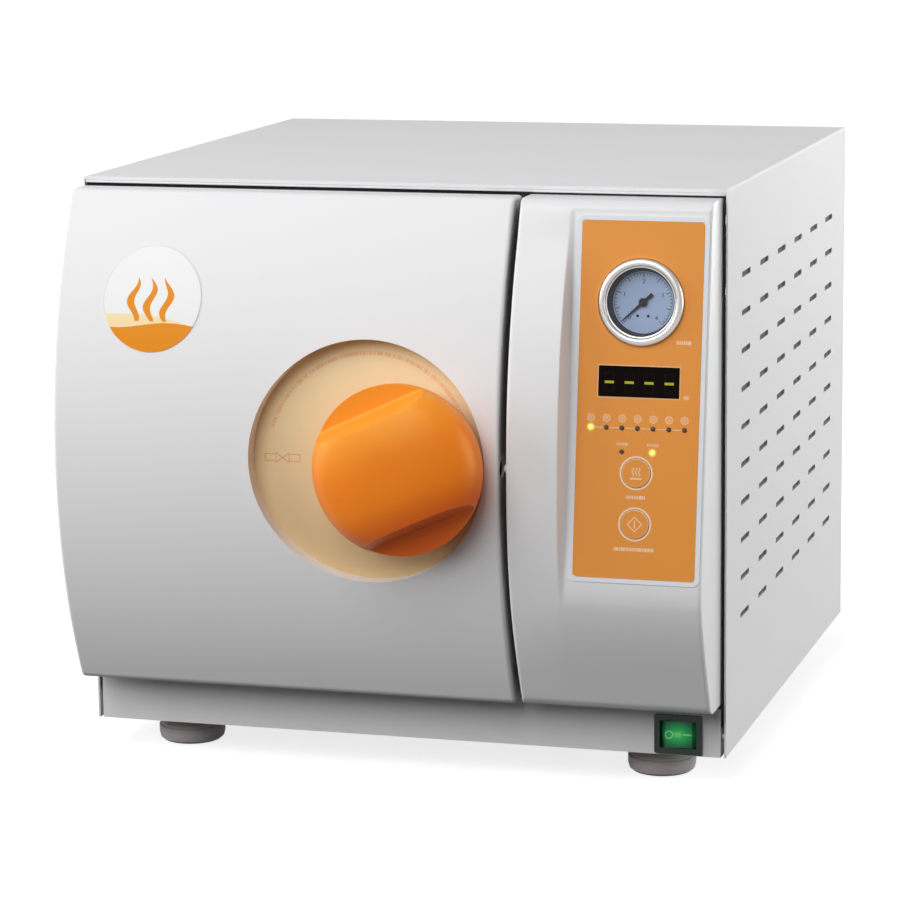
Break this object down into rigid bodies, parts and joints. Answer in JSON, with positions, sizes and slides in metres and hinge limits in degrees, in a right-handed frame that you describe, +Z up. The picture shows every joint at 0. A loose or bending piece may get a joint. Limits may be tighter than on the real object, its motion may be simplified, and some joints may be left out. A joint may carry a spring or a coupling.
{
  "type": "steam autoclave",
  "caption": "Bench steam autoclave: bowed hinged door with a big locking knob, leaning control panel with gauge and display, slotted sheet cover and round feet.",
  "frame": {"origin": "on the floor under the middle of the machine's bounding box", "axes": "+Z up, the door faces -Y, +X to the right of someone who faces the door"},
  "size_m": [0.445, 0.5632, 0.401],
  "materials": {
    "white_paint": "satin powder coat",
    "door_paint": "smooth satin paint",
    "fascia_plastic": "smooth satin moulding",
    "foot_rubber": "warm grey, matt",
    "zinc_screws": "bright zinc",
    "cream_plate": "cream, satin",
    "orange_knob": "orange, satin moulding",
    "orange_overlay": "printed polyester film",
    "badge_print": "printed plate, pale with an orange band",
    "steel": "machined steel",
    "stainless": "brushed stainless steel",
    "bronze": "sintered bronze",
    "brass": "turned brass",
    "cast_alloy": "fettled casting",
    "silicone": "white silicone",
    "gauge_black": "black enamel",
    "chrome_ring": "polished",
    "dial_face": "pale enamel with scale",
    "needle_black": "black paint",
    "clear_glass": "clear",
    "display_lens": "dark smoked lens",
    "lamp_lens": "small lamps",
    "circuit_board": "green solder mask",
    "switch_black": "black nylon",
    "switch_green": "green lens, lit from behind",
    "insulation": "glass fibre felt",
    "heater_foil": "foil faced",
    "tank_plastic": "translucent white",
    "black_plastic": "moulded",
    "iron_core": "varnished laminations"
  },
  "bodies": {
    "case": {"base_tray": "white_paint", "feet": "foot_rubber", "top_cover": "white_paint", "rear_panel": "white_paint", "front_frame": "white_paint", "case_screws": "zinc_screws", "lock_keeper": "steel", "hinge_brackets": "steel", "hinge_rod": "steel", "lock_solenoid": "black_plastic", "control_fascia": "fascia_plastic", "membrane_overlay": "orange_overlay", "gauge_case": "gauge_black", "gauge_bezel": "chrome_ring", "gauge_dial": "dial_face", "gauge_glass": "clear_glass", "display_window": "display_lens", "indicator_lamps": "lamp_lens", "control_board": "circuit_board", "power_switch_housing": "switch_black", "chamber_flange": "stainless", "chamber_shell": "stainless", "heater_band": "heater_foil", "insulation_jacket": "insulation", "chamber_saddles": "steel", "tray_rack": "stainless", "tray_1": "stainless", "tray_2": "stainless", "tray_3": "stainless", "water_tank": "tank_plastic", "water_pump": "cast_alloy", "solenoid_valves": "brass", "transformer": "iron_core", "fan_housing": "black_plastic", "power_inlet": "black_plastic", "fuse_holders": "black_plastic", "drain_ports": "brass", "safety_valve_body": "brass"},
    "door": {"door_cover": "door_paint", "dial_disc": "cream_plate", "badge": "badge_print", "door_beam": "cast_alloy", "spindle_bushing": "bronze", "door_plate": "stainless", "door_gasket": "silicone", "door_stud": "steel", "hinge_leaf": "steel", "cover_straps": "steel", "door_back_panel": "white_paint", "latch_guides": "steel"},
    "knob": {"knob": "orange_knob", "knob_spindle": "steel"},
    "latch_bar": {"latch_bar": "steel"},
    "lock_pin": {"lock_pin": "stainless"},
    "power_rocker": {"power_switch_rocker": "switch_green"},
    "upper_key": {"key_upper": "orange_overlay"},
    "lower_key": {"key_lower": "orange_overlay"},
    "gauge_needle": {"gauge_needle": "needle_black"},
    "fan_rotor": {"fan_rotor": "black_plastic"},
    "valve_stem": {"safety_valve_stem": "stainless"}
  },
  "joints": [
    {"name": "door_hinge", "type": "hinge", "parent": "case", "child": "door", "pos_m": [-0.211, -0.1862, 0.224], "axis": [0, 0, 1], "range_deg": [-95, 0]},
    {"name": "knob_turn", "type": "hinge", "parent": "door", "child": "knob", "pos_m": [0.023, -0.2187, 0.224], "axis": [0, 1, 0], "range_deg": [0, 90]},
    {"name": "latch_slide", "type": "slide", "parent": "door", "child": "latch_bar", "axis": [1, 0, 0], "range_m": [0, 0.01414]},
    {"name": "lock_pin_slide", "type": "slide", "parent": "case", "child": "lock_pin", "axis": [-1, 0, 0], "range_m": [0, 0.009], "stiffness_N_per_m": 150},
    {"name": "power_switch", "type": "hinge", "parent": "case", "child": "power_rocker", "pos_m": [0.1905, -0.1662, 0.0374], "axis": [0, 0, -1], "range_deg": [0, 14]},
    {"name": "upper_key_press", "type": "slide", "parent": "case", "child": "upper_key", "axis": [0, 0.9909, -0.1348], "range_m": [0, 0.0006], "stiffness_N_per_m": 1200},
    {"name": "lower_key_press", "type": "slide", "parent": "case", "child": "lower_key", "axis": [0, 0.9909, -0.1348], "range_m": [0, 0.0006], "stiffness_N_per_m": 1200},
    {"name": "needle_sweep", "type": "hinge", "parent": "case", "child": "gauge_needle", "pos_m": [0.1742, -0.20555, 0.33111], "axis": [0, 0.9909, -0.1348], "range_deg": [0, 270], "stiffness_Nm_per_rad": 0.0005},
    {"name": "fan_spin", "type": "hinge", "parent": "case", "child": "fan_rotor", "pos_m": [0.15, 0.2536, 0.3], "axis": [0, 1, 0], "continuous": true},
    {"name": "safety_valve_lift", "type": "slide", "parent": "case", "child": "valve_stem", "axis": [0, 1, 0], "range_m": [0, 0.002], "stiffness_N_per_m": 3000}
  ],
  "couplings": [
    {"joint": "latch_slide", "follows": "knob_turn", "m_per_rad": 0.009}
  ]
}
